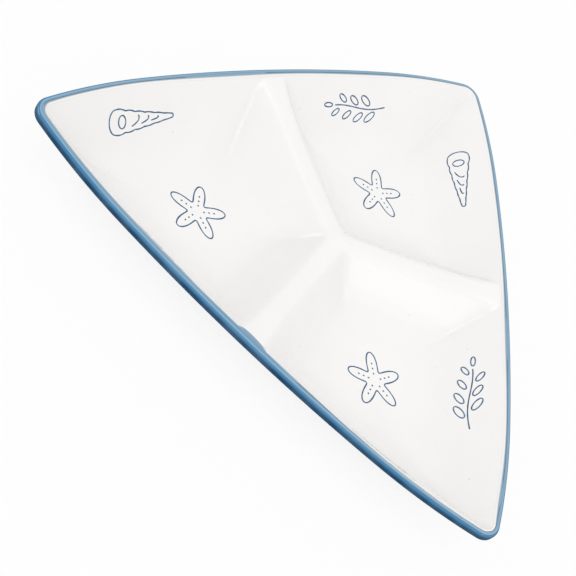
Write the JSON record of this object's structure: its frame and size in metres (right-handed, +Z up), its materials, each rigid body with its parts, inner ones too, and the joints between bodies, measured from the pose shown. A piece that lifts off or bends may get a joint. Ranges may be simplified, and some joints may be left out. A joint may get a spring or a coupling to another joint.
{
  "type": "divided serving bowl",
  "caption": "Bowed triangular stoneware serving dish, parted by broad low dividers into a sloping well in each corner, with a blue glazed lip and a foot ring",
  "frame": {"origin": "centre of the footprint at the surface the dish stands on", "axes": "Z up; X along the straight side-to-side breadth between two corners; Y towards the third corner"},
  "size_m": [0.2826, 0.2596, 0.0358],
  "materials": {
    "white_glaze": "glossy off-white glaze",
    "blue_glaze": "glossy blue glaze, thinner and lighter on the lip's edge",
    "bare_clay": "unglazed fired clay, smoothed",
    "print_colour": "fired-on underglaze print, navy"
  },
  "bodies": {
    "root": {"dish_body": "white_glaze", "lip_band": "blue_glaze", "foot_ring": "bare_clay", "shell_print_a": "print_colour", "shell_print_b": "print_colour", "shell_print_c": "print_colour", "starfish_print_a": "print_colour", "starfish_print_b": "print_colour", "starfish_print_c": "print_colour", "seaweed_print_a": "print_colour", "seaweed_print_b": "print_colour", "seaweed_print_c": "print_colour"}
  },
  "joints": []
}
